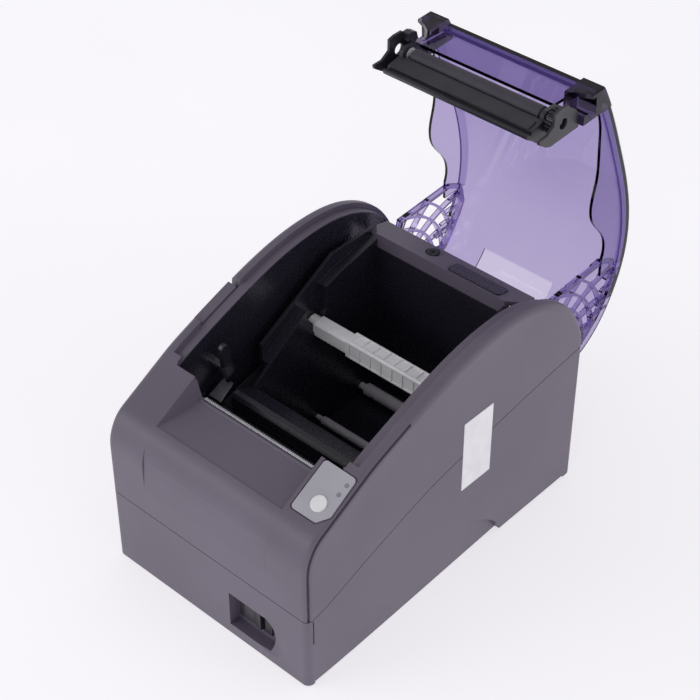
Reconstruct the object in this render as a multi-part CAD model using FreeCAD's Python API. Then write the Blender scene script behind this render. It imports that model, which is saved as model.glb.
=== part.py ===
import FreeCAD, Part
import math
import os
from FreeCAD import Vector

# Receipt printer for 80 mm paper rolls, with its see-through cover swung open.
# Millimetres. X runs across the front, Y from the front to the rear, Z up from the desk.
# Everything is drawn from the front face at Y = 0 and moved by -originY when it is
# exported, so that the origin is on the desk under the middle of the open printer.

# Case
half = 74.0
depth = 226.0
deskGap = 1.2
wall = 2.5
sideWall = 6.7
seamGap = 0.5
edgeRound = 4.0
originY = 141.2

# Cheeks either side of the cover
cheekInner = 61.0
rimInner = 67.0
seatDrop = 3.0
linerLip = 0.7

# Paper exit
exitHalf = 46.0
deckFront = (12.5, 105.0)
deckRear = (43.5, 122.0)
deckEdge = 42.8
deckAngle = math.atan2(deckRear[1] - deckFront[1], deckRear[0] - deckFront[0])
tearBarHalf = 39.6
toothPitch = 1.25

# Roll bay
bayHalf = 46.0
bayOuter = 54.0
bayFront = 82.0
bayRear = 186.0
bayFloor = 25.0
spindleY = 137.0
spindleZ = 99.0
journalRadius = 5.0
runningFit = 0.06

# Cover, drawn closed and then swung back about its hinge pins
coverHalf = 59.8
coverWall = 2.2
coverFront = 43.4
skinFront = 45.4
blockFront = 41.8
hingeY = 212.0
hingeZ = 79.5
openAngle = 87.0
pinRadius = 3.0

# Platen roller and its gear train, in the closed position
platenY = 49.6
platenZ = 88.27
platenRadius = 4.5
platenHalf = 43.5
shaftRadius = 2.5
gearModule = 0.8
gearLeft = 50.0
gearRight = 54.4
platenTeeth = 18
idlerTeeth = 28
pinionTeeth = 12
idlerY = 47.4
idlerZ = 69.75
pinionY = idlerY - 11.0
pinionZ = idlerZ - 11.62

# Release lever in the left cheek
leverY = 69.6
leverZ = 105.0
leverFront = 67.6
leverRear = 94.4

# Front power switch
rockerX = 28.6
rockerY = 10.0
rockerZ = 19.7


# Plain solids


def box(x0, x1, y0, y1, z0, z1):
    return Part.makeBox(x1 - x0, y1 - y0, z1 - z0, Vector(x0, y0, z0))


def barX(x0, x1, y, z, radius):
    return Part.makeCylinder(radius, x1 - x0, Vector(x0, y, z), Vector(1, 0, 0))


def barY(y0, y1, x, z, radius):
    return Part.makeCylinder(radius, y1 - y0, Vector(x, y0, z), Vector(0, 1, 0))


def barZ(z0, z1, x, y, radius):
    return Part.makeCylinder(radius, z1 - z0, Vector(x, y, z0))


def mirrored(solid):
    return solid.mirror(Vector(0, 0, 0), Vector(1, 0, 0))


def pair(solid):
    return Part.makeCompound([solid, mirrored(solid)])


def line(a, b):
    return Part.LineSegment(Vector(0, *a), Vector(0, *b)).toShape()


def curve(points, start=None, end=None):
    # A smooth line through points of the side view, with given end directions.
    spline = Part.BSplineCurve()
    knots = [Vector(0, y, z) for y, z in points]
    if start is None:
        spline.interpolate(Points=knots)
    else:
        spline.interpolate(Points=knots, InitialTangent=Vector(0, *start), FinalTangent=Vector(0, *end))
    return spline.toShape()


def extrudeX(edges, x0, x1):
    face = Part.Face(Part.Wire(edges))
    face.translate(Vector(x0, 0, 0))
    return face.extrude(Vector(x1 - x0, 0, 0))


def prismX(points, x0, x1):
    ends = points[1:] + points[:1]
    return extrudeX([line(a, b) for a, b in zip(points, ends)], x0, x1)


def prismZ(points, z0, z1):
    corners = [Vector(x, y, z0) for x, y in points]
    face = Part.Face(Part.makePolygon(corners + corners[:1]))
    return face.extrude(Vector(0, 0, z1 - z0))


def inset(points, depth):
    # Moves an outline that runs from the front over the top to the rear inwards.
    moved = []
    for i, (y, z) in enumerate(points):
        y0, z0 = points[max(i - 1, 0)]
        y1, z1 = points[min(i + 1, len(points) - 1)]
        length = math.hypot(y1 - y0, z1 - z0)
        moved.append((y + depth * (z1 - z0) / length, z - depth * (y1 - y0) / length))
    return moved


def rounded(solid, radius, test):
    # Rounds the edges whose middle point passes the test.
    chosen = []
    for edge in solid.Edges:
        middle = edge.valueAt((edge.FirstParameter + edge.LastParameter) / 2)
        if test(middle):
            chosen.append(edge)
    return solid.makeFillet(radius, chosen)


def onDeck(solid):
    # Lays a solid on the sloping deck: its X across, its Y up the slope, its Z outwards.
    placed = solid.copy()
    placed.rotate(Vector(0, 0, 0), Vector(1, 0, 0), math.degrees(deckAngle))
    placed.translate(Vector(0, *deckFront))
    return placed


def swungOpen(solid):
    placed = solid.copy()
    placed.rotate(Vector(0, hingeY, hingeZ), Vector(1, 0, 0), -openAngle)
    return placed


# Outlines of the case in the side view

frontCurve = [(0.0, 80.0), (0.9, 89.4), (4.6, 97.8), deckFront]
archCurve = [deckRear, (58.0, 128.6), (80.0, 137.0), (103.0, 145.0), (127.0, 151.2), (152.0, 153.8),
             (175.0, 151.8), (196.0, 143.6), (212.0, 130.4), (222.5, 113.5), (depth, 98.0)]
seamCurve = [(-6.0, 49.6), (5.0, 50.2), (32.0, 58.6), (70.0, 71.6), (94.0, 78.8),
             (130.0, 85.2), (190.0, 94.0), (depth, 98.0), (depth + 6.0, 98.6)]
slope = (math.cos(deckAngle), math.sin(deckAngle))


def insideCase(depthInside, x0, x1):
    # The space more than a given depth inside the case's outer surface.
    outline = [(0.0, 50.0)] + frontCurve + archCurve + [(depth, 50.0)]
    moved = inset(outline, depthInside)
    front = moved[1:5]
    arch = moved[5:-1]
    bottom = 1.2 if depthInside == 0 else 0.0
    edges = [line((depthInside, bottom), front[0])]
    edges.append(curve(front, (0.0, 1.0), slope))
    edges.append(line(front[-1], arch[0]))
    edges.append(curve(arch, slope, (0.0, -1.0)))
    edges.append(line(arch[-1], (arch[-1][0], bottom)))
    edges.append(line((arch[-1][0], bottom), (depthInside, bottom)))
    return extrudeX(edges, x0, x1)


def belowSeam(lift):
    seam = [(y, z + lift) for y, z in seamCurve]
    edges = [curve(seam), line(seam[-1], (seam[-1][0], -5.0))]
    edges.append(line((seam[-1][0], -5.0), (seam[0][0], -5.0)))
    edges.append(line((seam[0][0], -5.0), seam[0]))
    return extrudeX(edges, -half - 5, half + 5)


def caseBlock():
    # The whole outer form, with one rounding that runs up the front, over the arch and down.
    block = insideCase(0, -half, half)
    return rounded(block, edgeRound, lambda m: abs(m.x) > half - 0.1 and m.z > deskGap + 1)


# Base case


def sideScoop():
    # Finger hollow that deepens towards the rear under the side.
    crown = [(5.0, 20.5), (28.0, 24.2), (72.0, 29.6), (96.0, 31.6), (122.0, 30.3), (136.0, 25.0),
             (149.5, 15.6), (157.5, 6.0), (160.0, -2.0)]
    edges = [curve(crown), line(crown[-1], (5.0, -2.0)), line((5.0, -2.0), crown[0])]
    hollow = extrudeX(edges, half - 8, half + 5)
    wedge = prismZ([(half - 0.02, 5.0), (half + 6, 5.0), (half + 6, 162.0), (half - 4.0, 162.0)], -5, 40)
    return hollow.common(wedge)


def bottomRounding():
    strip = box(half - 1.8, half + 1, 5.0, 218.4, deskGap - 1, deskGap + 1.8)
    return strip.cut(barY(5.0, 218.4, half - 1.8, deskGap + 1.8, 1.8))


def switchWindow(y0, y1):
    arc = Part.Arc(Vector(42.5, y0, 32), Vector(47.8, y0, 22), Vector(45.6, y0, 8)).toShape()
    corners = [Vector(45.6, y0, 8), Vector(16, y0, 8), Vector(16, y0, 32), Vector(42.5, y0, 32)]
    edges = [Part.makeLine(a, b) for a, b in zip(corners[:-1], corners[1:])]
    face = Part.Face(Part.Wire([arc] + edges))
    return face.extrude(Vector(0, y1 - y0, 0))


def rearPorts(clearance):
    # Power inlet, serial port, USB port and cash-drawer port.
    y0, y1 = depth - 14.0, depth + 1.0
    ports = [barY(y0, y1, -50, 19.0, 5.6 + clearance)]
    for x0, x1, z0, z1 in ((-34, -3, 13, 25), (8, 20, 13, 24), (30, 43, 13, 25)):
        c = clearance
        ports.append(box(x0 - c, x1 + c, y0, y1, z0 - c, z1 + c))
    return ports


def baseCase():
    body = caseBlock().common(belowSeam(-seamGap / 2))
    body = body.cut(box(-half + wall, half - wall, wall, depth - wall, 34.0, 130.0))
    body = body.cut(box(-half + sideWall, half - sideWall, wall, depth - wall, 4.0, 35.0))
    walls = box(cheekInner, cheekInner + wall, 44.0, depth - wall + 0.5, 3.5, 130.0)
    post = box(cheekInner + 1, cheekInner + 6, 203.0, 221.0, 3.5, 91.0)
    boss = barZ(3.5, 40.0, 67.4, 30.0, 3.9)
    rearBoss = barZ(3.5, 40.0, 67.4, 194.0, 3.9)
    inner = walls.fuse([post, boss, rearBoss]).common(belowSeam(-seamGap / 2))
    body = body.fuse([inner, mirrored(inner)])
    # The rear wall is low between the cheeks, where the cover's tail swings through.
    body = body.cut(box(-cheekInner, cheekInner, depth - 12, depth + 2, 58.0, 130.0))
    body = body.fuse([box(13.0, 50.5, wall - 0.5, 9.5, 4.5, 34.0),
                      box(50.0, 60.5, wall - 0.5, 5.0, 4.5, 34.0)])
    body = body.cut([switchWindow(-2.0, 7.0), box(19.0, 41.4, 6.0, 12.0, 13.5, 26.7)])
    body = body.cut(Part.makeSphere(37.0, Vector(44.6, -34.6, 19.5)))
    body = body.cut(rearPorts(0.4) + [box(half - 0.7, half + 1, 3.9, 4.9, 32.0, 49.0)])
    for x in (-52, 52):
        for y in (96, 200):
            body = body.fuse(barZ(3.5, 8.0, x, y, 3.0))
    cuts = []
    for side in (-1, 1):
        for y in (30.0, 194.0):
            cuts.append(barZ(0.0, 4.6, side * 67.4, y, 3.1))
            cuts.append(barZ(0.0, 60.0, side * 67.4, y, 1.6))
    for solid in (sideScoop(), bottomRounding(),
                  barX(cheekInner - 1, cheekInner + 5, hingeY, hingeZ, pinRadius)):
        cuts += [solid, mirrored(solid)]
    return body.cut(cuts).removeSplitter()


def rubberFeet():
    feet = []
    for x in (-60, 60):
        for y in (40, 190):
            disc = barZ(0.0, deskGap, x, y, 6.0)
            feet.append(rounded(disc, 0.4, lambda m: m.z < 0.01))
    return Part.makeCompound(feet)


def caseScrews():
    screws = []
    for x in (-67.4, 67.4):
        for y in (30.0, 194.0):
            head = barZ(2.4, 4.6, x, y, 2.8)
            recess = box(x - 1.8, x + 1.8, y - 0.4, y + 0.4, 2.0, 3.4)
            cross = box(x - 0.4, x + 0.4, y - 1.8, y + 1.8, 2.0, 3.4)
            screws.append(head.fuse(barZ(4.5, 52.0, x, y, 1.35)).cut([recess, cross]))
    return Part.makeCompound(screws)


# Upper case


def trayFloor(lift):
    return [(deckFront[0], 104.4 + lift), (42.0, 108.6 + lift), (46.0, 109.1 + lift)]


def panelShape(margin, low, high):
    # The operator panel's outline on the deck, with a cut front right corner.
    m = margin
    corners = [(48.9 - m, 3.0 - m), (66.2 + m * 0.4, 3.0 - m), (71.2 + m, 9.2 - m * 0.4),
               (70.6 + m, 32.4 + m), (48.9 - m, 32.8 + m)]
    return rounded(prismZ(corners, low, high), 2.2, lambda p: abs(2 * p.z - low - high) < 0.1)


def upperCase():
    shell = caseBlock().cut(belowSeam(seamGap / 2))
    cavity = insideCase(wall, -half + wall, half - wall)
    floor = insideCase(wall - 0.1, cheekInner, half - wall + 0.1).cut(insideCase(seatDrop + wall, 0, half))
    floor = floor.cut(insideCase(seatDrop + linerLip, 0, cheekInner + wall + 0.02))
    boss = barZ(40.2, 150.0, 67.4, 30.0, 3.4).fuse(barZ(40.2, 160.0, 67.4, 194.0, 3.4))
    behindDeck = box(0, half, deckEdge - wall, depth - wall + 0.2, 0, 200)
    cheek = floor.common(behindDeck).cut(belowSeam(seamGap / 2))
    cheek = cheek.fuse(boss.common(insideCase(1.0, 0, half)))
    body = shell.cut(cavity).fuse([cheek, mirrored(cheek)])
    # Opening for the cover, and the lower ledge along each cheek
    body = body.cut(box(-cheekInner, cheekInner, deckEdge, depth + 5, 0, 200))
    ledge = box(cheekInner - 1, rimInner, deckRear[0] + 2.5, depth - 2.6, 0, 200)
    ledge = ledge.cut(insideCase(seatDrop, 0, half))
    body = body.cut([ledge, mirrored(ledge)])
    body = body.fuse(exitWalls())
    trough = trayFloor(0) + [(46.0, 140.0), (deckFront[0] - 0.2, 140.0), (deckFront[0] - 0.2, 104.4)]
    body = body.cut(prismX(trough, -exitHalf, exitHalf))
    body = body.fuse([exitDraft(), mirrored(exitDraft()), tearLip()])
    blockSpace = box(45.3, 60.3, blockFront - 0.4, deckEdge + 0.1, 100.0, 140.0)
    body = body.cut([blockSpace, mirrored(blockSpace)])
    # Shallow front panel that only shows at its two ends
    recess = [(0.0, 68.0), (0.3, 75.0), (0.62, 82.0), (1.2, 88.5), (2.0, 92.0), (2.95, 94.8), (-3.0, 94.8)]
    recess.append((-3.0, 68.0))
    body = body.cut(prismX(recess, -exitHalf, exitHalf))
    body = body.cut(onDeck(panelShape(0.7, -0.9, 3.0)))
    body = body.cut(onDeck(barZ(-8.0, 3.0, 61.3, 12.0, 5.0)))
    body = body.cut(sideGroove())
    notch = box(-half - 2, -rimInner, leverFront - 0.9, leverRear + 3.0, 60.0, 200.0)
    body = body.cut(notch.cut(insideCase(14.2, -half - 3, 0)))
    for side in (-1, 1):
        body = body.cut([barZ(40.0, 52.5, side * 67.4, y, 1.35) for y in (30.0, 194.0)])
    return body.removeSplitter()


def exitWalls():
    # Side walls of the paper exit and the floor between them.
    side = insideCase(0.6, exitHalf, exitHalf + wall).common(box(0, half, 10.0, deckEdge, 102.0, 140.0))
    under = [(y, z - 2.4) for y, z in trayFloor(0)[:2]]
    floor = prismX([(7.5, 103.6), (7.5, 102.4)] + under + [(42.0, 108.6), (12.5, 105.6)], -48.0, 48.0)
    floor = floor.common(insideCase(0.3, -half, half))
    return [side, mirrored(side), floor]


def exitDraft():
    # The end wall of the paper exit slopes inwards as it goes down.
    corners = [(exitHalf, 0.0), (exitHalf + 1.5, 0.0), (exitHalf + 1.5, -17.0), (exitHalf - 6.0, -17.0)]
    face = Part.Face(Part.makePolygon([Vector(x, -8.0, z) for x, z in corners + corners[:1]]))
    wedge = onDeck(face.extrude(Vector(0, 50.0, 0)))
    return wedge.common(prismX(trayFloor(-1.0)[:2] + [(42.0, 140.0), (deckFront[0], 140.0)], 0, half))


def tearLip():
    # Low rounded ridge across the exit floor in front of the tear bar.
    ridge = [(38.6, 107.6), (38.8, 108.5), (39.2, 108.85), (39.9, 108.95), (40.3, 108.7), (40.4, 107.6)]
    return prismX(ridge, -41.6, 41.6)


def cheekLiners():
    # Black inner walls below the ledges of the upper case; the left one lets the lever's shaft through.
    liner = insideCase(seatDrop + linerLip + 0.02, cheekInner, cheekInner + wall)
    behindDeck = box(0, half, deckEdge - wall, depth - wall + 0.2, 0, 200)
    liner = liner.common(behindDeck).cut(belowSeam(seamGap / 2))
    bore = barX(-66.0, -cheekInner + 2, leverY, leverZ, pinRadius + runningFit)
    return Part.makeCompound([liner, mirrored(liner).cut(bore)])


def sideGroove():
    # Narrow line around the right corner, from the seam up the front and along the deck to the arch.
    band = insideCase(1.2, half - 1.9, half + 1).cut(insideCase(2.4, 0, half + 2))
    return band.common(box(0, half + 1, -1.0, 78.0, 50.0, 200.0))


# Parts on the deck


def tearBar():
    # Narrow steel strip behind the exit's lip with a row of teeth along its rear edge.
    count = int(2 * tearBarHalf / toothPitch)
    edge = []
    for i in range(count):
        x = tearBarHalf - i * toothPitch
        edge += [(x, 41.9), (x - toothPitch / 2, 43.1)]
    blade = prismZ([(-tearBarHalf, 41.9), (-tearBarHalf, 40.9), (tearBarHalf, 40.9)] + edge, 0, 0.7)
    blade = blade.fuse(box(-tearBarHalf, tearBarHalf, 40.9, 41.2, 0, 1.0))
    tilt = math.atan2(4.2, 29.5)
    blade.rotate(Vector(0, 42.0, 0), Vector(1, 0, 0), math.degrees(tilt))
    blade.translate(Vector(0, 0, 108.62))
    return blade


def panelPlate():
    plate = panelShape(0, -0.9, 0.25)
    plate = plate.cut(barZ(-2, 2, 61.3, 12.0, 4.6 + runningFit))
    for x, y in ((68.0, 27.1), (67.4, 21.1)):
        plate = plate.cut(barZ(-2, 2, x, y, 1.2))
    return onDeck(plate)


def indicatorLenses():
    lenses = [barZ(-0.9, 0.35, x, y, 1.15) for x, y in ((68.0, 27.1), (67.4, 21.1))]
    return onDeck(Part.makeCompound(lenses))


def feedButton():
    cap = barZ(-3.0, 0.9, 61.3, 12.0, 4.6)
    cap = rounded(cap, 0.5, lambda m: m.z > 0.85)
    return onDeck(cap.fuse([barZ(-4.2, -2.9, 61.3, 12.0, 4.9), barZ(-5.0, -4.1, 61.3, 12.0, 1.6)]))


def panelBoard():
    return onDeck(box(50.0, 63.6, 4.0, 26.0, -9.6, -8.0))


def feedSwitch():
    return onDeck(box(58.3, 64.3, 9.0, 15.0, -8.0, -6.9).fuse(barZ(-7.0, -6.3, 61.3, 12.0, 1.7)))


def sideLabel():
    return box(half, half + 0.25, 121.0, 145.0, 58.5, 106.5)


# Power switch


def switchHousing():
    flange = box(17.6, 42.0, 5.8, 7.0, 12.2, 28.0)
    flange = rounded(flange, 0.5, lambda m: m.y < 5.81)
    body = box(19.2, 41.2, 6.9, 22.0, 13.7, 26.5)
    cavity = box(20.6, 36.6, 5.0, 16.5, 13.6, 25.8)
    pins = [box(x, x + 0.8, 21.9, 27.0, 17.4, 22.4) for x in (22.0, 29.0, 36.0)]
    bore = barZ(25.0, 27.0, rockerX, rockerY, 1.2 + runningFit)
    return flange.fuse([body] + pins).cut([cavity, bore])


def powerRocker():
    # Two flat faces that meet over the pivot, with the left half pressed in.
    profile = [(-7.3, -4.7), (0.6, -5.0), (6.9, -6.5), (7.0, -1.5), (2.0, 4.0), (-2.0, 4.0), (-7.2, 0.5)]
    corners = [(rockerX + x, rockerY + y) for x, y in profile]
    rocker = prismZ(corners, rockerZ - 5.8, rockerZ + 5.8)
    rocker = rounded(rocker, 0.35, lambda m: m.y < rockerY - 4.6)
    return rocker.fuse(barZ(rockerZ + 5.0, rockerZ + 6.6, rockerX, rockerY, 1.2))


# Printing mechanism


def mechanismFrame():
    # Folded sheet steel: floor, two sides, and cross plates for the head and the guide.
    side = prismX([(16, 39), (64, 39), (64, 78), (58, 92), (40, 94), (22, 94), (16, 84)], 57.6, 59.1)
    side = side.cut(barX(57, 60, 30.0, 60.0, 8.0))
    floor = box(-59.1, 59.1, 16.0, 64.0, 38.0, 39.5)
    floor = floor.cut([box(x - 12, x + 12, 24.0, 56.0, 37.0, 40.0) for x in (-40, -8)])
    rear = box(-57.6, 57.6, 62.5, 64.0, 39.4, 84.0)
    front = box(-57.6, 57.6, 30.0, 31.5, 76.0, 92.0)
    ears = prismX([(30.5, 80.0), (30.5, 72.0), (41.0, 72.0), (41.0, 79.0)], 44.6, 46.0)
    motorPlate = box(46.6, 48.0, 21.0, 52.0, 39.4, 66.0)
    frame = floor.fuse([side, mirrored(side), rear, front, ears, mirrored(ears), motorPlate])
    frame = frame.cut(barX(40, 50, pinionY, pinionZ, 4.0))
    frame = frame.cut([barX(x, x + 4, 38.5, 75.5, 1.5 + runningFit) for x in (-47, 43)])
    return frame.removeSplitter()


def sideBracket():
    # Bright steel tongue that rises behind the left end of the tear bar, with a leg down to the frame.
    tongue = prismX([(59.8, 90.0), (60.4, 89.0), (72.4, 96.0), (71.8, 97.0)], -56.6, -47.4)
    taper = [prismZ([(-56.8, 59.0), (-55.2, 73.0), (-58.0, 73.0), (-58.0, 59.0)], 80, 100),
             prismZ([(-47.3, 59.0), (-48.8, 73.0), (-46.0, 73.0), (-46.0, 59.0)], 80, 100)]
    notch = box(-54.0, -51.0, 69.6, 74.0, 90.0, 100.0).fuse(box(-51.5, -48.0, 70.8, 74.0, 90.0, 100.0))
    leg = box(-55.0, -50.0, 64.05, 65.2, 70.0, 91.9)
    return tongue.cut(taper + [notch]).fuse(leg)


def printHead():
    # Ceramic heating plate on its aluminium carrier, with a pivot pin at each end.
    plate = [(44.7, 80.0), (44.7, 95.0), (43.4, 96.2), (43.4, 80.0)]
    return prismX(plate, -42.5, 42.5)


def headCarrier():
    section = [(43.4, 79.0), (43.4, 96.2), (38.4, 96.2), (38.4, 92.0), (36.6, 92.0), (36.6, 78.0),
               (40.9, 78.0)]
    bar = prismX(section, -42.5, 42.5)
    lug = prismX([(36.6, 78.5), (36.6, 74.5), (38.5, 73.2), (40.4, 74.5), (40.9, 78.5)], 40.5, 43.2)
    pin = barX(42.9, 46.2, 38.5, 75.5, 1.5)
    return bar.fuse([lug, mirrored(lug), pin, mirrored(pin)])


def headSpring():
    # Curved leaf that presses the head towards the roller.
    outer = [(31.5, 90.0), (33.0, 88.0), (35.2, 84.5), (33.0, 81.0), (31.5, 79.0)]
    inner = [(y - 0.5, z) for y, z in outer[1:-1]]
    edges = [curve(outer), line(outer[-1], (31.5, 79.8)), line((31.5, 79.8), inner[-1])]
    edges += [curve(inner[::-1]), line(inner[0], (31.5, 89.2)), line((31.5, 89.2), outer[0])]
    return extrudeX(edges, -8.0, 8.0)


def stepperMotor():
    can = barX(23.0, 45.2, pinionY, pinionZ, 13.0)
    can = rounded(can, 1.0, lambda m: True)
    flange = prismX([(pinionY + y, pinionZ + z) for y, z in
                     ((-15, -4), (-9, -12), (9, -12), (15, -4), (15, 4), (9, 7.9), (-9, 7.9), (-15, 4))],
                     45.2, 46.6)
    boss = barX(46.5, 48.4, pinionY, pinionZ, 3.6)
    return can.fuse([flange, boss]).cut(barX(42.0, 49.0, pinionY, pinionZ, 1.5 + runningFit))


def gear(teeth, y, z, firstTooth):
    # Spur gear in the side view, with tapered teeth and its first tooth at a given angle.
    pitch = gearModule * teeth / 2
    tip = pitch + 0.78 * gearModule
    root = pitch - 1.1 * gearModule
    step = 2 * math.pi / teeth
    points = []
    for i in range(teeth):
        middle = firstTooth + i * step
        for radius, share in ((root, -0.27), (tip, -0.12), (tip, 0.12), (root, 0.27)):
            angle = middle + share * step
            points.append((y + radius * math.cos(angle), z + radius * math.sin(angle)))
    return prismX(points, gearLeft, gearRight)


downwards = math.atan2(pinionZ - idlerZ, pinionY - idlerY)
upwards = math.atan2(platenZ - idlerZ, platenY - idlerY)


def idlerGear():
    wheel = gear(idlerTeeth, idlerY, idlerZ, downwards)
    hub = barX(gearLeft - 0.3, gearRight + 0.4, idlerY, idlerZ, 4.0)
    holes = []
    for k in range(5):
        angle = 2 * math.pi * k / 5
        holes.append(barX(49, 56, idlerY + 6.8 * math.cos(angle), idlerZ + 6.8 * math.sin(angle), 1.6))
    return wheel.fuse(hub).cut(holes + [barX(49, 56, idlerY, idlerZ, 2.0 + runningFit)])


def motorPinion():
    gap = downwards + math.pi + math.pi / pinionTeeth
    return gear(pinionTeeth, pinionY, pinionZ, gap).fuse(barX(42.5, gearLeft + 0.5, pinionY, pinionZ, 1.5))


def gearPost():
    return barX(49.4, 57.6, idlerY, idlerZ, 2.0)


def platenGear():
    # A gap between its teeth faces the idler's tooth when the cover is shut.
    step = 2 * math.pi / idlerTeeth
    offset = (upwards - downwards) / step
    toothError = (round(offset) - offset) * step
    turn = -toothError * idlerTeeth / platenTeeth
    first = upwards + math.pi + math.pi / platenTeeth + turn
    wheel = gear(platenTeeth, platenY, platenZ, first)
    return wheel.cut(barX(49, 56, platenY, platenZ, shaftRadius))


# Roll bay


def bayLedge(lift):
    # Upper edge of the inner side wall, broken by the spindle's slot.
    return [(80.2, 82.9 + lift), (127.3, 115.1 + lift), (128.0, 117.0 + lift), (143.0, 123.2 + lift),
            (188.0, 138.0 + lift)]


def paperBay():
    outer = prismX([(97.0, 105.4), (155.0, 136.6), (188.0, 137.0), (188.0, 60.0), (97.0, 60.0)], 52.0,
                   bayOuter)
    inner = prismX([(80.2, 23.0)] + bayLedge(0)[:4] + [(188.0, 134.0), (188.0, 23.0)], bayHalf, bayHalf + 2)
    shelfTop = bayLedge(0)[:4] + [(155.0, 127.0), (188.0, 134.0)]
    shelf = prismX(shelfTop + [(y, z - 2.2) for y, z in shelfTop[::-1]], bayHalf, bayOuter)
    shelf = shelf.common(box(0, 60, 97.0, 188.0, 0, 140))
    seat = prismX([(125.0, 88.0), (149.0, 88.0), (149.0, 122.0), (143.0, 123.2), (125.0, 113.4)], bayHalf,
                  bayOuter)
    side = outer.fuse([inner, shelf, seat, box(bayHalf, bayOuter, 97.0, 99.0, 60.0, 95.0)])
    slot = barX(bayHalf - 1, 52.0, spindleY, spindleZ, journalRadius + runningFit)
    slot = slot.fuse(box(bayHalf - 1, 52.0, spindleY - 5.06, spindleY + 5.06, spindleZ, 130.0))
    mouth = [(127.3, 130.0), (127.3, 110.0), (spindleY - 5.0, 103.0), (spindleY + 5.0, 103.0),
             (143.0, 110.0),
             (143.0, 130.0)]
    slot = slot.fuse(prismX(mouth, bayHalf - 1, 52.0))
    seats = [barX(45, 50, 134.5, 32.0, 1.5 + runningFit), barX(45, 50, 173.0, 32.0, 2.2 + runningFit)]
    side = side.cut([slot] + seats)
    floor = box(-bayHalf - 2, bayHalf + 2, 80.2, 188.0, 23.0, bayFloor)
    front = box(-bayHalf - 1, bayHalf + 1, 80.2, bayFront, 24.0, 88.0)
    rear = box(-bayOuter, bayOuter, bayRear, 188.0, 24.0, 127.9)
    beamSpace = box(-50, 50, bayRear - 0.1, 190.0, 127.9, 140.0)
    return floor.fuse([front, rear, side, mirrored(side), tailWell()]).cut(beamSpace).removeSplitter()


def tailWell():
    # Curved wall under the hinge line that the cover's tail swings over.
    ring = barX(-60.0, 60.0, hingeY, hingeZ, 26.4).cut(barX(-61.0, 61.0, hingeY, hingeZ, 24.6))
    below = box(-60, 60, 186.5, 223.3, 40.0, 76.0)
    return ring.common(below)


def paperGuide():
    # Low smooth lip that the paper runs over between the roll and the printing gap.
    outer = [(64.5, 84.1), (64.5, 93.2), (66.2, 95.2), (69.0, 95.8), (82.0, 89.6)]
    inner = [(82.0, 88.1), (69.0, 94.2), (66.8, 93.7), (66.1, 92.6), (66.1, 84.1)]
    return prismX(outer + inner, -43.5, 43.5)


def paperSensor():
    return box(-5.0, 5.0, 66.4, 72.0, 84.5, 90.5).fuse(box(-3.0, 3.0, 67.2, 70.6, 90.4, 92.8))


def paperSpindle():
    # Moulded bar with a row of shallow cells on each side and a round journal at each end.
    thin = box(-45.6, -20.0, spindleY - 4.7, spindleY + 4.7, spindleZ - 5.4, spindleZ + 5.4)
    thin = thin.makeChamfer(1.6, [e for e in thin.Edges if abs(e.BoundBox.XLength - 25.6) < 0.1])
    thick = box(-21.0, 45.6, spindleY - 5.3, spindleY + 5.3, spindleZ - 6.0, spindleZ + 6.0)
    thick = rounded(thick, 1.2, lambda m: -20 < m.x < 45)
    cells = []
    for k in range(8):
        x = -18.2 + 7.9 * k
        cells.append(box(x, x + 7.1, spindleY - 6, spindleY - 4.8, spindleZ - 4.2, spindleZ + 4.2))
        cells.append(box(x, x + 7.1, spindleY + 4.8, spindleY + 6, spindleZ - 4.2, spindleZ + 4.2))
        cells.append(box(x, x + 7.1, spindleY - 3.6, spindleY + 3.6, spindleZ + 5.5, spindleZ + 7))
        cells.append(box(x, x + 7.1, spindleY - 3.6, spindleY + 3.6, spindleZ - 7, spindleZ - 5.5))
    journals = [barX(-51.4, -45.5, spindleY, spindleZ, journalRadius)]
    journals.append(barX(45.5, 51.4, spindleY, spindleZ, journalRadius))
    return thick.cut(cells).fuse([thin] + journals)


def floorRoller(y, radius, pin):
    body = barX(-41.5, 45.0, y, 32.0, radius)
    body = rounded(body, 0.6, lambda m: True)
    return body.fuse([barX(-47.8, -41.0, y, 32.0, pin), barX(44.5, 47.8, y, 32.0, pin)])


def hingeBeam():
    # Channel-shaped cross beam behind the roll bay, with chamfered ends and a screw boss.
    top = [(186.0, 137.1), (203.5, 133.2), (203.5, 121.0), (201.5, 121.0), (201.5, 131.4), (188.1, 134.4),
           (188.1, 128.0), (186.0, 128.0)]
    beam = prismX(top, -53.9, 53.9)
    corner = prismZ([(45.7, 185.0), (54.5, 185.0), (54.5, 194.6)], 100, 140)
    beam = beam.cut([corner, mirrored(corner)])
    beam = beam.fuse(barZ(126.0, 134.9, -12.8, 195.9, 5.2))
    ring = barZ(133.9, 138.0, -12.8, 195.9, 4.4)
    return beam.cut([ring, barZ(125.0, 138.0, -12.8, 195.9, 1.35)])


def beamScrew():
    head = barZ(133.9, 135.4, -12.8, 195.9, 3.4)
    slots = [box(-14.9, -10.7, 195.5, 196.3, 134.6, 138.0), box(-13.2, -12.4, 193.8, 198.0, 134.6, 138.0)]
    return head.fuse(barZ(127.0, 134.0, -12.8, 195.9, 1.35)).cut(slots)


def beamPad():
    strip = prismX([(186.0, 137.1), (186.0, 137.9), (200.0, 134.78), (200.0, 133.98)], 0.0, 45.0)
    plan = prismZ([(4.0, 187.6), (41.0, 187.6), (41.0, 197.4), (4.0, 197.4)], 130.0, 140.0)
    return rounded(plan, 2.0, lambda m: abs(m.z - 135.0) < 0.1).common(strip)


# Release lever


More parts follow.
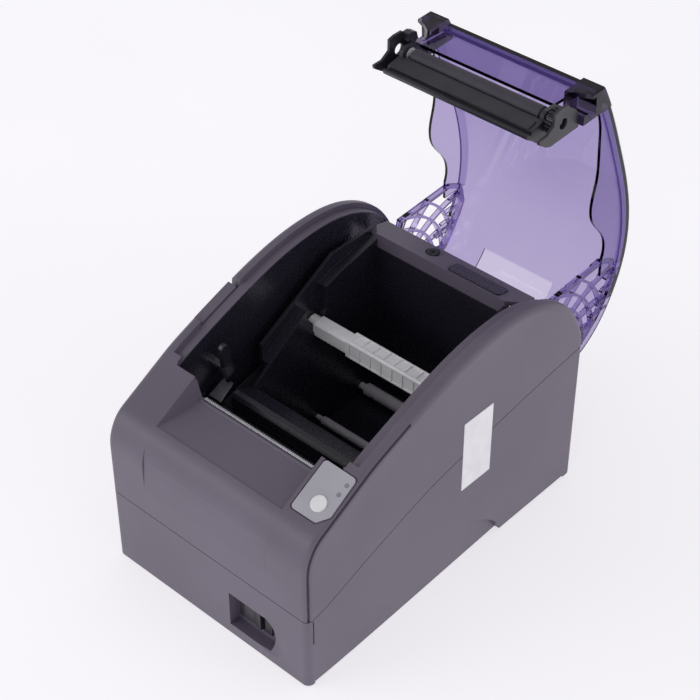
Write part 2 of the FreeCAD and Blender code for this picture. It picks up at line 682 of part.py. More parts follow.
def releasePad():
    top = insideCase(1.9, -73.6, -67.4)
    cap = top.cut(insideCase(4.3, -75, -60))
    skirt = insideCase(1.9, -73.6, -71.9).cut(insideCase(11.4, -75, -60))
    web = insideCase(3.8, -70.9, -68.7)
    taper = [(68.0, 160.0), (65.5, leverZ), (leverY, leverZ - 4), (74.0, leverZ), (92.0, 160.0)]
    web = web.common(prismX(taper, -75, -60))
    span = box(-75, -60, leverFront, leverRear, 60, 200)
    pad = cap.fuse([skirt, web]).common(span)
    hub = barX(-70.9, -64.4, leverY, leverZ, 5.0)
    return pad.fuse(hub).cut(barX(-72, -60, leverY, leverZ, pinRadius))


def latchShaft():
    return barX(-70.9, -49.6, leverY, leverZ, pinRadius)


def latchHook():
    # Slim arm with a rounded end on the lever's shaft.
    outline = [(66.8, 105.0), (64.9, 119.0), (65.2, 121.6), (66.6, 123.4), (69.2, 123.4), (71.0, 121.0),
               (71.6, 116.6),
               (73.6, 105.0)]
    arm = prismX(outline, -53.4, -50.2)
    arm = rounded(arm, 0.6, lambda m: m.z > 106.0 and abs(m.x + 51.8) > 1.5)
    arm = arm.fuse(barX(-53.4, -49.6, leverY, leverZ, 4.6))
    return arm.cut(barX(-54, -45, leverY, leverZ, pinRadius))


# Cover

coverCurve = [(coverFront, 120.1), (66.0, 130.2), (91.0, 139.2), (115.0, 147.0), (138.0, 152.0),
              (158.0, 152.9),
              (176.0, 149.9), (193.0, 142.8), (210.5, 130.2), (221.5, 114.5), (226.2, 98.0), (227.4, 84.0),
              (226.8, 66.0)]


def underCover(depthInside, x0, x1):
    top = inset(coverCurve, depthInside)
    edges = [curve(top), line(top[-1], (150.0, 40.0)), line((150.0, 40.0), (top[0][0], 60.0))]
    edges.append(line((top[0][0], 60.0), top[0]))
    return extrudeX(edges, x0, x1)


def coverSkin():
    top = coverCurve
    low = inset(coverCurve, coverWall)
    edges = [curve(top), line(top[-1], low[-1]), curve(low[::-1]), line(low[0], top[0])]
    skin = extrudeX(edges, -coverHalf, coverHalf)
    longest = sorted(skin.Edges, key=lambda edge: edge.Length)[-2:]
    outer = skin.makeFillet(1.5, longest)
    # The rear of the skin is thinner where a tool can reach the hinge beam.
    pocket = underCover(coverWall - 1.0, -30, 22).cut(underCover(coverWall + 2.0, -31, 23))
    return outer.cut(pocket.common(box(-30, 22, 190, 230, 96, 134.5)))


def coverFlange():
    # Side wall under each edge of the skin, in two steps, with a waved lower edge.
    free = [(57.0, 117.4), (66.0, 119.8), (84.0, 120.6), (103.0, 120.0), (118.0, 116.4), (129.0, 117.8),
            (148.0, 129.8), (156.0, 131.2), (163.0, 129.6)]
    lower = [curve(free), line(free[-1], (175.0, 129.0)), line((175.0, 129.0), (175.0, 170.0))]
    lower += [line((175.0, 170.0), (57.0, 170.0)), line((57.0, 170.0), free[0])]
    thin = extrudeX(lower, 56.8, 58.6).common(underCover(1.0, 0, coverHalf))
    root = [(y, z - 7.6) for y, z in coverCurve[:8]]
    upper = [curve(root), line(root[-1], (193.0, 170.0)), line((193.0, 170.0), (42.0, 170.0))]
    upper.append(line((42.0, 170.0), root[0]))
    thick = extrudeX(upper, 57.8, coverHalf).common(underCover(1.6, 0, coverHalf))
    return thin.fuse(thick.common(box(0, 70, 57.0, 215.0, 100, 170)))


def armOutline():
    return [(165.0, 131.0), (171.0, 142.4), (185.5, 145.0), (206.0, 132.5), (218.5, 116.0), (224.0, 98.0),
            (224.8, 84.0), (219.6, 72.6), (206.0, 71.6), (180.0, 82.0), (166.0, 86.4)]


def hingeArm():
    # Open lattice of crossing curved ribs between the skin and the hinge hub.
    plate = prismX(armOutline(), 54.6, 57.8).common(underCover(1.0, 0, coverHalf))
    rim = armOutline()
    face = Part.Face(Part.Wire([line(rim[i - 1], rim[i]) for i in range(len(rim))]))
    opening = face.makeOffset2D(-2.6)
    opening.translate(Vector(54.0, 0, 0))
    opening = opening.extrude(Vector(5, 0, 0))
    ribs = []
    for radius in (19.0, 28.0, 37.0, 46.0, 55.0):
        ring = barX(54.6, 57.8, hingeY, hingeZ, radius + 0.8)
        ribs.append(ring.cut(barX(54, 58, hingeY, hingeZ, radius - 0.8)))
    bend = 80.0
    for k in range(6):
        angle = math.radians(2.0 + 18.0 * k)
        y = hingeY + bend * math.cos(angle)
        z = hingeZ + bend * math.sin(angle)
        ring = barX(54.6, 57.8, y, z, bend + 0.8)
        ribs.append(ring.cut(barX(54, 58, y, z, bend - 0.8)))
    lattice = ribs[0].fuse(ribs[1:]).common(opening).common(plate)
    hub = barX(54.6, 59.6, hingeY, hingeZ, 7.5)
    arm = plate.cut(opening).fuse([lattice, hub])
    return arm.cut(barX(50, 60, hingeY, hingeZ, pinRadius + runningFit))


def coverFins():
    fins = []
    for y, z in ((179.6, 138.6), (187.4, 135.6), (194.5, 131.4), (200.6, 126.2)):
        fin = box(57.0, 59.6, y - 0.7, y + 0.7, z - 5.0, z + 12.0)
        fins.append(fin.common(underCover(1.6, 0, coverHalf)))
    return fins


def frontWall():
    # Stepped front edge and the clear wall that hangs in front of the roller.
    section = [(skinFront, 121.6), (skinFront, 115.1), (46.8, 113.8), (45.5, 94.6), (47.6, 94.6),
               (48.8, 113.2),
               (50.4, 123.4)]
    return prismX(section, -45.6, 45.6).common(underCover(0.0, -60, 60))


def coverShell():
    side = coverFlange().fuse([hingeArm()] + coverFins())
    shell = coverSkin().fuse([side, mirrored(side), frontWall()])
    corner = box(45.6, 62.0, 40.0, 57.2, 90.0, 140.0)
    setBack = box(-46.0, 46.0, 40.0, skinFront, 90.0, 140.0)
    return swungOpen(shell.cut([setBack, corner, mirrored(corner)]).removeSplitter())


def cornerBlocks():
    # Smoky corners that stand in front of the skin's edge and carry the roller's holder.
    section = [(coverFront, 102.9), (57.0, 101.6), (57.0, 135.0), (coverFront, 135.0)]
    block = prismX(section, 45.8, coverHalf - 0.1).common(underCover(0, 0, coverHalf))
    nose = prismX([(blockFront, 119.3), (blockFront, 103.1), (coverFront + 0.1, 102.9),
                   (coverFront + 0.1, 120.1)],
                  45.8, coverHalf - 0.1)
    block = block.fuse(nose)
    corners = [(47.4, 101.0), (47.4, 103.2), (53.4, 106.8), (61.0, 109.8), (61.0, 101.0)]
    face = Part.makePolygon([Vector(x, 40.0, z) for x, z in corners + corners[:1]])
    block = block.cut(Part.Face(face).extrude(Vector(0, 11.4, 0)))
    block = block.cut(box(48.4, 61.0, 44.4, 54.8, 106.0, 112.5))
    block = rounded(block, 1.2, lambda m: m.x > coverHalf - 0.2 and m.y < blockFront + 0.1)
    return swungOpen(pair(block))


def platenCarrier():
    # Open-fronted holder that wraps the roller, with a folded lip below it.
    outer = [(47.8, 81.5), (49.5, 72.2), (51.2, 72.0), (51.2, 70.6), (50.2, 70.0), (49.8, 68.8),
             (50.4, 67.9),
             (52.6, 68.4), (55.5, 72.8), (58.5, 76.0), (58.5, 101.5), (56.4, 101.5), (56.4, 88.4),
             (50.0, 88.4)]
    body = prismX(outer, -49.0, 49.0)
    hollow = barX(-46.4, 46.4, platenY, platenZ, platenRadius + 1.1)
    body = body.cut([hollow, prismX([(52.4, 71.6), (54.2, 74.2), (56.7, 77.0), (56.7, 79.2), (51.4, 79.2)],
                                    -47, 47)])
    body = body.cut(box(-45.6, 45.6, 56.0, 59.0, 97.0, 102.0))
    raised = prismX([(48.0, 79.0), (47.6, 78.8), (48.7, 72.4), (50.0, 72.2)], -9.0, 46.4)
    body = body.fuse(raised)
    plate = prismX([(43.4, 84.6), (44.6, 82.0), (58.0, 79.0), (58.0, 98.0), (50.0, 98.0), (44.4, 93.6)],
                   46.4, 49.0)
    body = body.fuse([plate, mirrored(plate)])
    return swungOpen(body.cut(barX(-60, 60, platenY, platenZ, 4.0)).removeSplitter())


def carrierBrackets():
    # End cheeks of the holder, each with a hooked nose, joined to it behind the roller.
    outline = [(39.7, 85.4), (40.6, 81.0), (47.2, 80.6), (50.4, 75.0), (50.4, 68.2), (52.6, 68.6),
               (56.9, 74.3),
               (58.4, 78.0), (58.4, 101.5), (51.0, 101.5), (46.4, 99.0), (43.4, 95.0), (39.9, 91.5)]
    cheek = prismX(outline, 55.2, 56.8).cut(barX(54, 58, platenY, platenZ, 3.2))
    right = cheek.fuse(box(49.0, 55.3, 56.6, 58.4, 96.8, 101.5))
    block = prismX([(40.0, 95.0), (40.0, 91.4), (44.5, 91.4), (47.0, 97.0), (45.6, 99.0), (41.4, 98.0)],
                   50.6, 55.3)
    left = cheek.fuse([box(49.0, 55.3, 56.6, 58.4, 76.0, 101.5), block])
    return swungOpen(Part.makeCompound([right, mirrored(left)]))


def platenRubber():
    roll = barX(-platenHalf, platenHalf, platenY, platenZ, platenRadius)
    roll = rounded(roll, 0.4, lambda m: True)
    return swungOpen(roll.cut(barX(-60, 60, platenY, platenZ, shaftRadius)))


def platenShaft():
    shaft = barX(-53.0, 54.8, platenY, platenZ, shaftRadius)
    return swungOpen(shaft.makeChamfer(0.5, shaft.Edges[:1]))


def platenBushes():
    bush = barX(46.4, 49.0, platenY, platenZ, 4.0).fuse(barX(49.0, 49.6, platenY, platenZ, 4.8))
    return swungOpen(pair(bush.cut(barX(46, 50, platenY, platenZ, shaftRadius + runningFit))))


def carrierScrews():
    screws = []
    for x in (-51.6, 51.6):
        head = barY(58.4, 59.6, x, 97.0, 2.2)
        screws.append(head.cut(box(x - 1.6, x + 1.6, 59.1, 60.0, 96.7, 97.3)))
    return swungOpen(Part.makeCompound(screws))


def hingePins():
    return pair(barX(55.2, 66.0, hingeY, hingeZ, pinRadius))


# Electronics in the base


def mainBoard():
    board = box(-57.0, 57.0, 92.0, 212.0, 8.0, 9.6)
    return board.cut([barZ(7, 10, x, y, 1.2) for x in (-52, 52) for y in (96, 200)])


def powerSocket():
    plug = barY(depth - 14.0, depth - 0.4, -50, 19.0, 5.6).cut(barY(depth - 11.0, depth, -50, 19.0, 4.3))
    shroud = box(-56.6, -43.4, depth - 22.0, depth - 13.9, 10.0,
                 25.2).fuse(box(-56, -44, 204.0, 206.0, 9.6, 24.0))
    pinPlaces = ((0, 2), (-1.8, -1.2), (1.8, -1.2))
    pins = [barY(depth - 11.5, depth - 5.0, -50 + dx, 19.0 + dz, 0.6) for dx, dz in pinPlaces]
    return shroud.fuse([plug] + pins)


def portShell(x0, x1, z0, z1, margin):
    # Open-mouthed socket body that stands on the board and reaches the rear wall.
    shell = box(x0, x1, 204.0, depth - 0.3, z0, z1).fuse(box(x0, x1, 204.0, 211.5, 9.6, z1))
    return shell.cut(box(x0 + margin, x1 - margin, depth - 12.0, depth + 1, z0 + margin, z1 - margin))


def serialPort():
    shell = portShell(-34, -3, 13, 25, 2.6)
    tongue = box(-30.6, -6.4, depth - 12.1, depth - 5.0, 17.0, 21.0)
    return shell.fuse(tongue)


def usbPort():
    return portShell(8, 20, 13, 24, 1.4).fuse(box(11.0, 17.0, depth - 12.1, depth - 5.0, 16.6, 20.4))


def drawerPort():
    contacts = [box(32.6 + 1.4 * k, 33.0 + 1.4 * k, depth - 12.1, depth - 4.0, 21.6, 22.2) for k in range(6)]
    return portShell(30, 43, 13, 25, 1.6).fuse(contacts)


def memoryModule():
    block = box(-20.0, 22.0, 120.0, 160.0, 9.6, 17.0)
    return rounded(block, 1.2, lambda m: m.z > 16.9)


def coverSwitch():
    body = box(-57.6, -51.0, 18.0, 28.0, 82.0, 89.0)
    return body.fuse(box(-55.4, -53.2, 20.0, 22.0, 88.9, 91.0))


parts = {
    "base_case": baseCase(),
    "upper_case": upperCase(),
    "cheek_liners": cheekLiners(),
    "rubber_feet": rubberFeet(),
    "case_screws": caseScrews(),
    "tear_bar": tearBar(),
    "panel_plate": panelPlate(),
    "indicator_lenses": indicatorLenses(),
    "feed_button": feedButton(),
    "panel_board": panelBoard(),
    "feed_switch": feedSwitch(),
    "side_label": sideLabel(),
    "switch_housing": switchHousing(),
    "power_rocker": powerRocker(),
    "mechanism_frame": mechanismFrame(),
    "side_bracket": sideBracket(),
    "print_head": printHead(),
    "head_carrier": headCarrier(),
    "head_spring": headSpring(),
    "stepper_motor": stepperMotor(),
    "motor_pinion": motorPinion(),
    "idler_gear": idlerGear(),
    "gear_post": gearPost(),
    "cover_switch": coverSwitch(),
    "paper_bay": paperBay(),
    "paper_guide": paperGuide(),
    "paper_sensor": paperSensor(),
    "paper_spindle": paperSpindle(),
    "front_roller": floorRoller(134.5, 2.6, 1.5),
    "rear_roller": floorRoller(173.0, 3.8, 2.2),
    "hinge_beam": hingeBeam(),
    "beam_screw": beamScrew(),
    "beam_pad": beamPad(),
    "release_pad": releasePad(),
    "latch_shaft": latchShaft(),
    "latch_hook": latchHook(),
    "cover_shell": coverShell(),
    "corner_blocks": cornerBlocks(),
    "platen_carrier": platenCarrier(),
    "carrier_brackets": carrierBrackets(),
    "carrier_screws": carrierScrews(),
    "platen_rubber": platenRubber(),
    "platen_shaft": platenShaft(),
    "platen_gear": swungOpen(platenGear()),
    "platen_bushes": platenBushes(),
    "hinge_pins": hingePins(),
    "main_board": mainBoard(),
    "power_socket": powerSocket(),
    "serial_port": serialPort(),
    "usb_port": usbPort(),
    "drawer_port": drawerPort(),
    "memory_module": memoryModule(),
}

os.makedirs("parts", exist_ok=True)
for name, shape in parts.items():
    placed = shape.copy()
    placed.translate(Vector(0, -originY, 0))
    placed.exportStep("parts/" + name + ".step")
    print(name, len(placed.Solids), "solids, valid", placed.isValid(), "volume", round(placed.Volume))
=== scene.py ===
import math

import bmesh
import bpy
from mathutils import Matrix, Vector

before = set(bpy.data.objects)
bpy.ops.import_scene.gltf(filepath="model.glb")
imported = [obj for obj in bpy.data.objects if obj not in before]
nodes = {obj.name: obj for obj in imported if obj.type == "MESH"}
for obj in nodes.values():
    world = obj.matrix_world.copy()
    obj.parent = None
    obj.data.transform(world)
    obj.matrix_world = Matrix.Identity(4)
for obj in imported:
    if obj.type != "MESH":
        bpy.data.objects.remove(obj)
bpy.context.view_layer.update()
print("frame loaded:", len(nodes), "nodes")

mm = 0.001
originY = 0.1412            # the case front is this far in front of the row's origin

# Camera and studio

camera = {
    "place": (0.50691, -0.44045 - originY, 0.73718),
    "azimuth": 42.503,
    "elevation": 39.381,
    "focalPixels": 1801.77,
    "framePixels": 700,
    "sensor": 36.0,
}


def addCamera(look):
    data = bpy.data.cameras.new("studioCamera")
    data.sensor_width = look["sensor"]
    data.lens = look["focalPixels"] * look["sensor"] / look["framePixels"]
    data.clip_start = 0.01
    holder = bpy.data.objects.new("studioCamera", data)
    holder.location = look["place"]
    holder.rotation_euler = (math.radians(90 - look["elevation"]), 0, math.radians(look["azimuth"]))
    bpy.context.scene.collection.objects.link(holder)
    bpy.context.scene.camera = holder


def addSoftbox(name, place, aim, size, watts, tint=(1, 1, 1)):
    data = bpy.data.lights.new(name, "AREA")
    data.shape = "RECTANGLE"
    data.size, data.size_y = size
    data.energy = watts
    data.color = tint
    holder = bpy.data.objects.new(name, data)
    holder.location = place
    holder.rotation_euler = (Vector(aim) - Vector(place)).to_track_quat("-Z", "Y").to_euler()
    bpy.context.scene.collection.objects.link(holder)


studio = {
    "zenith": 0.30,
    "horizon": 0.80,
    "overhead": {"place": (0.0, 0.25, 1.5), "aim": (0.0, 0.0, 0.05), "size": (1.6, 1.2), "watts": 2},
    "front": {"place": (-0.9, -1.3, 0.8), "aim": (0.0, 0.0, 0.08), "size": (1.0, 0.8), "watts": 5},
    "right": {"place": (1.6, 0.3, 0.9), "aim": (0.0, 0.0, 0.08), "size": (1.0, 0.8), "watts": 2},
}

addCamera(camera)
for boxName in ("overhead", "front", "right"):
    addSoftbox(boxName + "Softbox", **studio[boxName])


# Materials


def linear(hexColour, alpha=1.0):
    # sRGB hex to the linear values that the shader takes
    parts = [int(hexColour[i:i + 2], 16) / 255 for i in (1, 3, 5)]
    return [c / 12.92 if c <= 0.04045 else ((c + 0.055) / 1.055) ** 2.4 for c in parts] + [alpha]


def addNode(tree, kind, settings=None, links=None):
    # One node, with its inputs and properties set and its inputs linked to other nodes' outputs
    node = tree.nodes.new(kind)
    for key, value in (settings or {}).items():
        if isinstance(key, int) or key in node.inputs:
            node.inputs[key].default_value = value
        else:
            setattr(node, key, value)
    for key, socket in (links or {}).items():
        tree.links.new(socket, node.inputs[key])
    return node


def newMaterial(name):
    material = bpy.data.materials.new(name)
    material.use_nodes = True
    tree = material.node_tree
    tree.nodes.clear()
    place = addNode(tree, "ShaderNodeTexCoord").outputs["Object"]
    return material, tree, place


def perMillimetre(size):
    # Noise scale that gives features of this size, in millimetres
    return 1000.0 / size


def mottledColour(tree, place, dark, light, patch):
    # Slow drift between two near shades, as pigment drifts in a moulding
    drift = addNode(tree, "ShaderNodeTexNoise", {"Scale": perMillimetre(patch), "Detail": 3.0}, {"Vector": place})
    blend = addNode(tree, "ShaderNodeValToRGB", links={"Fac": drift.outputs["Fac"]})
    blend.color_ramp.elements[0].position = 0.35
    blend.color_ramp.elements[1].position = 0.65
    blend.color_ramp.elements[0].color = linear(dark)
    blend.color_ramp.elements[1].color = linear(light)
    return blend.outputs["Color"]


def grainNormal(tree, place, grain, strength, rounding=0.35):
    # Fine bump over edges that are rounded as a mould rounds them
    soft = addNode(tree, "ShaderNodeBevel", {"samples": 4, "Radius": rounding * mm})
    pits = addNode(tree, "ShaderNodeTexNoise", {"Scale": perMillimetre(grain), "Detail": 2.0}, {"Vector": place})
    bump = addNode(tree, "ShaderNodeBump", {"Strength": strength, "Distance": 0.1 * mm},
                   {"Height": pits.outputs["Fac"], "Normal": soft.outputs["Normal"]})
    return bump.outputs["Normal"], pits.outputs["Fac"]


def mouldedPlastic(name, look):
    material, tree, place = newMaterial(name)
    normal, pits = grainNormal(tree, place, look["grain"], look["depth"], look.get("rounding", 0.35))
    rough = addNode(tree, "ShaderNodeMapRange", {"To Min": look["rough"][0], "To Max": look["rough"][1]}, {"Value": pits})
    shader = addNode(tree, "ShaderNodeBsdfPrincipled",
                     {"IOR": look["ior"], "Specular IOR Level": look.get("specular", 0.5)},
                     {"Base Color": mottledColour(tree, place, look["dark"], look["light"], look["patch"]),
                      "Roughness": rough.outputs["Result"], "Normal": normal})
    addNode(tree, "ShaderNodeOutputMaterial", links={"Surface": shader.outputs[0]})
    return material


# ABS from a spark-eroded mould: a dry violet-grey skin with a fine tooth, so highlights spread wide
caseAbs = mouldedPlastic("texturedAbs", {"dark": "#655d6d", "light": "#6b6374", "patch": 60, "grain": 0.9, "depth": 0.10,
                                         "rough": (0.40, 0.52), "ior": 1.53})
# The same ABS from a polished part of the mould: darker and wetter, with soft reflections
bayAbs = mouldedPlastic("polishedAbs", {"dark": "#24222c", "light": "#292733", "patch": 45, "grain": 2.2, "depth": 0.03,
                                        "rough": (0.22, 0.32), "ior": 1.53})
# Glass-filled nylon: near black, with a satin skin that shows faint streaks
filledNylon = mouldedPlastic("glassFilledNylon", {"dark": "#232129", "light": "#2b2932", "patch": 12, "grain": 0.7,
                                                  "depth": 0.14, "rough": (0.30, 0.45), "ior": 1.53})
# Acetal: white and waxy, for gears and bushes
whiteAcetal = mouldedPlastic("acetal", {"dark": "#dedce2", "light": "#ebe9ee", "patch": 15, "grain": 1.2, "depth": 0.05,
                                        "rough": (0.30, 0.40), "ior": 1.48})
# Polyester film printed from behind: flat pale grey with a satin face
printedFilm = mouldedPlastic("printedPolyester", {"dark": "#b3b1ba", "light": "#bab8c1", "patch": 20, "grain": 0.6,
                                                  "depth": 0.03, "rough": (0.34, 0.40), "ior": 1.57})
# Silicone rubber keycap: white, soft sheen
whiteKey = mouldedPlastic("siliconeRubber", {"dark": "#f0eff3", "light": "#f7f6f9", "patch": 8, "grain": 0.5, "depth": 0.03,
                                             "rough": (0.38, 0.46), "ior": 1.41})
# Screen ink, opaque white
whiteInk = mouldedPlastic("screenInkWhite", {"dark": "#f7f6f9", "light": "#fdfdfe", "patch": 6, "grain": 0.4, "depth": 0.02,
                                             "rough": (0.40, 0.46), "ior": 1.5, "rounding": 0.02})
# Screen ink, grey glyph lines
greyInk = mouldedPlastic("screenInkGrey", {"dark": "#a5a3ad", "light": "#b0aeb8", "patch": 6, "grain": 0.4, "depth": 0.02,
                                           "rough": (0.40, 0.46), "ior": 1.5, "rounding": 0.02})
# Nitrile rubber, ground to size: dull, with the finest tooth of all
groundNitrile = mouldedPlastic("groundNitrile", {"dark": "#3a3741", "light": "#423f49", "patch": 10, "grain": 0.5,
                                                 "depth": 0.16, "rough": (0.55, 0.68), "ior": 1.52})
# Neoprene foot: black and chalky
neoprene = mouldedPlastic("neoprene", {"dark": "#1d1c20", "light": "#252429", "patch": 6, "grain": 0.6, "depth": 0.2,
                                       "rough": (0.70, 0.85), "ior": 1.52})
# Coated label paper: bright white with faint fibre
coatedPaper = mouldedPlastic("coatedPaper", {"dark": "#eceaef", "light": "#f5f4f7", "patch": 9, "grain": 0.7, "depth": 0.05,
                                             "rough": (0.42, 0.50), "ior": 1.5, "rounding": 0.05})
# Lacquered glass-epoxy board: deep green gloss
boardLaminate = mouldedPlastic("glassEpoxy", {"dark": "#0f3a24", "light": "#14462c", "patch": 14, "grain": 1.0,
                                              "depth": 0.05, "rough": (0.22, 0.34), "ior": 1.55})
# Acrylic lens over a dark lamp: smoky grey
lampAcrylic = mouldedPlastic("lampAcrylic", {"dark": "#8d8b95", "light": "#9593a0", "patch": 4, "grain": 0.8, "depth": 0.02,
                                             "rough": (0.12, 0.2), "ior": 1.49})
# Glazed alumina: brown-black heater bar with a glassy face
glazedAlumina = mouldedPlastic("glazedAlumina", {"dark": "#4a4038", "light": "#5a4e44", "patch": 12, "grain": 0.8,
                                                 "depth": 0.03, "rough": (0.10, 0.2), "ior": 1.6})


def platedMetal(name, look):
    # A metal with rolling or drawing lines along X, so highlights streak across them
    material, tree, place = newMaterial(name)
    soft = addNode(tree, "ShaderNodeBevel", {"samples": 4, "Radius": 0.25 * mm})
    squeeze = addNode(tree, "ShaderNodeVectorMath", {"operation": "MULTIPLY", 1: (0.06, 1.0, 1.0)}, {0: place})
    lines = addNode(tree, "ShaderNodeTexNoise", {"Scale": perMillimetre(look["lines"]), "Detail": 4.0},
                    {"Vector": squeeze.outputs[0]})
    bump = addNode(tree, "ShaderNodeBump", {"Strength": look["depth"], "Distance": 0.05 * mm},
                   {"Height": lines.outputs["Fac"], "Normal": soft.outputs["Normal"]})
    rough = addNode(tree, "ShaderNodeMapRange", {"To Min": look["rough"][0], "To Max": look["rough"][1]},
                    {"Value": lines.outputs["Fac"]})
    shader = addNode(tree, "ShaderNodeBsdfPrincipled", {"Metallic": 1.0},
                     {"Base Color": mottledColour(tree, place, look["dark"], look["light"], look["patch"]),
                      "Roughness": rough.outputs["Result"], "Normal": bump.outputs["Normal"]})
    addNode(tree, "ShaderNodeOutputMaterial", links={"Surface": shader.outputs[0]})
    return material


# Zinc-plated sheet: pale grey with faint cloudy crystals
zincSheet = platedMetal("zincSheet", {"dark": "#a7a7ad", "light": "#bdbdc4", "patch": 9, "lines": 0.5, "depth": 0.08,
                                      "rough": (0.34, 0.46)})
# Ground and polished steel: bright, for shafts, pins and the blade
brightSteel = platedMetal("groundSteel", {"dark": "#c9c9ce", "light": "#dadade", "patch": 14, "lines": 0.4, "depth": 0.05,
                                          "rough": (0.20, 0.30)})
# Anodised aluminium: soft grey heat sink
anodisedAluminium = platedMetal("anodisedAluminium", {"dark": "#9c9ca2", "light": "#adadb3", "patch": 16, "lines": 0.6,
                                                      "depth": 0.06, "rough": (0.36, 0.46)})
# Free-cutting brass: yellow, turned
turnedBrass = platedMetal("turnedBrass", {"dark": "#b08d4a", "light": "#c7a35c", "patch": 8, "lines": 0.4, "depth": 0.05,
                                          "rough": (0.24, 0.34)})


def clearPlastic(name, look):
    # Clear plastic, tinted in the mass. The light that it lets through is tinted too.
    material, tree, place = newMaterial(name)
    haze = addNode(tree, "ShaderNodeTexNoise", {"Scale": perMillimetre(look["haze"]), "Detail": 3.0}, {"Vector": place})
    rough = addNode(tree, "ShaderNodeMapRange", {"To Min": look["rough"][0], "To Max": look["rough"][1]},
                    {"Value": haze.outputs["Fac"]})
    flow = addNode(tree, "ShaderNodeBump", {"Strength": look["flow"], "Distance": 0.2 * mm}, {"Height": haze.outputs["Fac"]})
    tint = mottledColour(tree, place, look["dark"], look["light"], look["haze"])
    shader = addNode(tree, "ShaderNodeBsdfPrincipled", {"IOR": look["ior"], "Transmission Weight": 1.0},
                     {"Base Color": tint, "Roughness": rough.outputs["Result"], "Normal": flow.outputs["Normal"]})
    through = addNode(tree, "ShaderNodeBsdfTransparent", {"Color": linear(look["shade"])})
    ray = addNode(tree, "ShaderNodeLightPath")
    mix = addNode(tree, "ShaderNodeMixShader", links={0: ray.outputs["Is Shadow Ray"], 1: shader.outputs[0],
                                                      2: through.outputs[0]})
    depth = addNode(tree, "ShaderNodeVolumeAbsorption", {"Color": look["mass"], "Density": look["density"]})
    addNode(tree, "ShaderNodeOutputMaterial", links={"Surface": mix.outputs[0], "Volume": depth.outputs[0]})
    return material


# Polycarbonate, smoky violet: clear as glass across its thickness, deep violet along its edges
coverPolycarbonate = clearPlastic("tintedPolycarbonate", {"dark": "#f3f0f8", "light": "#f8f6fb", "haze": 55, "flow": 0.02,
                                                          "rough": (0.015, 0.035), "ior": 1.35, "shade": "#f4f1f9",
                                                          "mass": (0.251, 0.103, 0.56, 1), "density": 360})
# Polycarbonate in thick corners: smoke grey, still lets light through
cornerPolycarbonate = clearPlastic("smokedPolycarbonate", {"dark": "#8d8598", "light": "#968ea2", "haze": 30, "flow": 0.02,
                                                           "rough": (0.10, 0.18), "ior": 1.35, "shade": "#b0a8bd",
                                                            "mass": (0.30, 0.26, 0.40, 1), "density": 120})


def milkyPlastic(name, look):
    # Natural polypropylene: light soaks in and comes back white, so ribs glow and pockets stay soft
    material, tree, place = newMaterial(name)
    normal, pits = grainNormal(tree, place, look["grain"], look["depth"], 0.4)
    rough = addNode(tree, "ShaderNodeMapRange", {"To Min": look["rough"][0], "To Max": look["rough"][1]}, {"Value": pits})
    shader = addNode(tree, "ShaderNodeBsdfPrincipled",
                     {"IOR": look["ior"], "Subsurface Weight": look["soak"], "Subsurface Scale": look["reach"] * mm,
                      "Subsurface Radius": (1.0, 0.95, 1.0)},
                     {"Base Color": mottledColour(tree, place, look["dark"], look["light"], look["patch"]),
                      "Roughness": rough.outputs["Result"], "Normal": normal})
    addNode(tree, "ShaderNodeOutputMaterial", links={"Surface": shader.outputs[0]})
    return material


spindlePolypropylene = milkyPlastic("naturalPolypropylene", {"dark": "#ecebef", "light": "#f8f7fa", "patch": 9, "grain": 1.6,
                                                             "depth": 0.05, "rough": (0.25, 0.38), "ior": 1.49,
                                                             "soak": 0.5, "reach": 1.5})
rollerPolypropylene = milkyPlastic("frostedPolypropylene", {"dark": "#cdc8d2", "light": "#dad6df", "patch": 7, "grain": 1.4,
                                                            "depth": 0.05, "rough": (0.30, 0.42), "ior": 1.49,
                                                            "soak": 0.4, "reach": 1.0})
print("materials made:", len(bpy.data.materials))

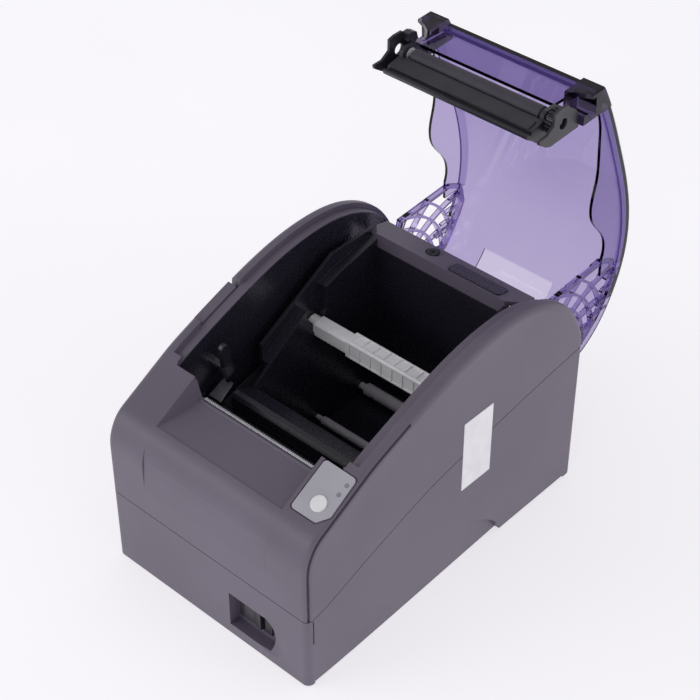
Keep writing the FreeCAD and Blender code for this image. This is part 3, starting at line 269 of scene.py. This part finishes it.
# Finish of each node of the frame
finishes = {
    caseAbs: ["base_case", "upper_case", "release_pad", "hinge_beam"],
    bayAbs: ["cheek_liners", "paper_bay", "paper_guide", "beam_pad", "mechanism_frame", "head_carrier"],
    filledNylon: ["platen_carrier", "carrier_brackets", "latch_hook", "switch_housing", "power_rocker", "cover_switch",
                  "feed_switch", "paper_sensor", "memory_module", "power_socket", "serial_port", "usb_port", "drawer_port",
                  "idler_gear", "platen_gear", "beam_screw"],
    coverPolycarbonate: ["cover_shell"],
    cornerPolycarbonate: ["corner_blocks"],
    whiteAcetal: ["platen_bushes"],
    spindlePolypropylene: ["paper_spindle"],
    rollerPolypropylene: ["front_roller", "rear_roller"],
    printedFilm: ["panel_plate"],
    whiteKey: ["feed_button"],
    lampAcrylic: ["indicator_lenses"],
    groundNitrile: ["platen_rubber"],
    neoprene: ["rubber_feet"],
    coatedPaper: ["side_label"],
    boardLaminate: ["main_board", "panel_board"],
    glazedAlumina: ["print_head"],
    anodisedAluminium: ["stepper_motor"],
    turnedBrass: ["motor_pinion"],
    zincSheet: ["side_bracket"],
    brightSteel: ["tear_bar", "case_screws", "carrier_screws", "hinge_pins", "latch_shaft", "platen_shaft",
                  "gear_post", "head_spring"],
}
for material, members in finishes.items():
    for member in members:
        for slot in nodes[member].material_slots:
            slot.material = material
bare = sorted(set(nodes) - {member for members in finishes.values() for member in members})
assert not bare, bare
print("frame dressed:", len(finishes), "finishes")


# Floor and backdrop


def addFloor():
    material, tree, place = newMaterial("paintedFloor")
    tint = mottledColour(tree, place, "#c3c1c6", "#c8c6cb", 400)
    shader = addNode(tree, "ShaderNodeBsdfPrincipled",
                     {"Roughness": 0.9, "Specular IOR Level": 0.1, "Emission Color": (0.99, 0.98, 1.0, 1),
                      "Emission Strength": 0.62}, {"Base Color": tint})
    addNode(tree, "ShaderNodeOutputMaterial", links={"Surface": shader.outputs[0]})
    mesh = bpy.data.meshes.new("floor")
    build = bmesh.new()
    bmesh.ops.create_grid(build, x_segments=8, y_segments=8, size=6.0)
    build.to_mesh(mesh)
    build.free()
    floor = bpy.data.objects.new("floor", mesh)
    mesh.materials.append(material)
    bpy.context.scene.collection.objects.link(floor)


def paintWorld(zenith, horizon):
    # A dim sky over a bright horizon, as a lit cyclorama gives
    world = bpy.data.worlds.new("studioWorld")
    bpy.context.scene.world = world
    world.use_nodes = True
    tree = world.node_tree
    tree.nodes.clear()
    height = addNode(tree, "ShaderNodeSeparateXYZ", {}, {0: addNode(tree, "ShaderNodeTexCoord").outputs["Generated"]})
    level = addNode(tree, "ShaderNodeMapRange", {"From Min": 0.1, "From Max": 0.9, "To Min": horizon, "To Max": zenith},
                    {"Value": height.outputs["Z"]})
    glow = addNode(tree, "ShaderNodeBackground", {"Color": (0.98, 0.97, 1.0, 1)}, {"Strength": level.outputs[0]})
    addNode(tree, "ShaderNodeOutputWorld", links={"Surface": glow.outputs[0]})


addFloor()
paintWorld(studio["zenith"], studio["horizon"])
bpy.context.scene.view_settings.view_transform = "Standard"
print("studio set")
